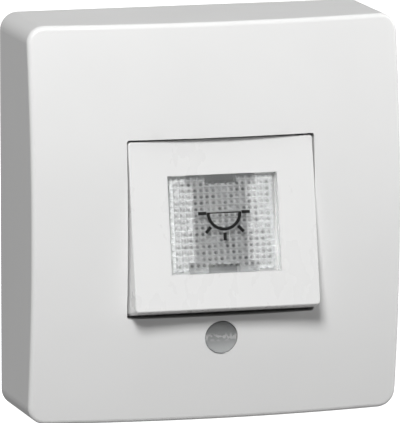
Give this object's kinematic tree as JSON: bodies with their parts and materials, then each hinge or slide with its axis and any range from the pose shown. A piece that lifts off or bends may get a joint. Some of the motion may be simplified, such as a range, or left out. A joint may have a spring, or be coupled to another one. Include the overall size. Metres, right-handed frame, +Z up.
{
  "type": "rocker switch",
  "caption": "Surface-mounted light switch: crowned square hood, top-hinged spring-return rocker, clear prismatic symbol window and round pilot lens.",
  "frame": {"origin": "middle of the back, on the wall plane", "axes": "+X to the right seen from the front, +Z up, the front faces -Y and +Y points into the wall"},
  "size_m": [0.08, 0.035, 0.084],
  "materials": {
    "hood_white": "smooth moulded, satin gloss",
    "rocker_white": "smooth moulded, satin gloss",
    "base_white": "moulded, matt",
    "insert_grey": "moulded, matt",
    "frame_grey": "moulded, matt",
    "plunger_white": "moulded, matt",
    "zinc_steel": "zinc plated",
    "screw_steel": "zinc plated",
    "pin_steel": "drawn, bright",
    "spring_steel": "drawn wire",
    "brass": "stamped, bright",
    "lamp_glass": "clear glass over a white cap",
    "clear_lens": "clear, polished",
    "clear_window": "clear, polished front, prismatic back"
  },
  "bodies": {
    "housing": {"hood": "hood_white", "base_plate": "base_white", "mounting_strap": "zinc_steel", "strap_screws": "screw_steel", "switch_base": "insert_grey", "switch_cover": "insert_grey", "fixed_contact_left": "brass", "fixed_contact_right": "brass", "terminal_clamp_left": "brass", "terminal_clamp_right": "brass", "terminal_screw_left": "screw_steel", "terminal_screw_right": "screw_steel", "hinge_frame": "frame_grey", "frame_screws": "screw_steel", "hinge_pin": "pin_steel", "lamp_holder": "insert_grey", "lamp_pins": "brass", "glow_lamp": "lamp_glass", "pilot_lamp": "lamp_glass", "pilot_lens": "clear_lens", "return_spring": "spring_steel"},
    "rocker": {"rocker": "rocker_white", "window_insert": "clear_window"},
    "plunger": {"plunger": "plunger_white", "contact_bridge": "brass"}
  },
  "joints": [
    {"name": "rocker_press", "type": "hinge", "parent": "housing", "child": "rocker", "pos_m": [0, -0.0235, 0.0132], "axis": [1, 0, 0], "range_deg": [0, 6.5], "stiffness_Nm_per_rad": 0.6, "springref_deg": -5.73},
    {"name": "plunger_slide", "type": "slide", "parent": "housing", "child": "plunger", "axis": [0, 1, 0], "range_m": [0, 0.00295], "deforming": ["return_spring"]}
  ],
  "couplings": [
    {"joint": "plunger_slide", "follows": "rocker_press", "m_per_rad": 0.0258}
  ]
}
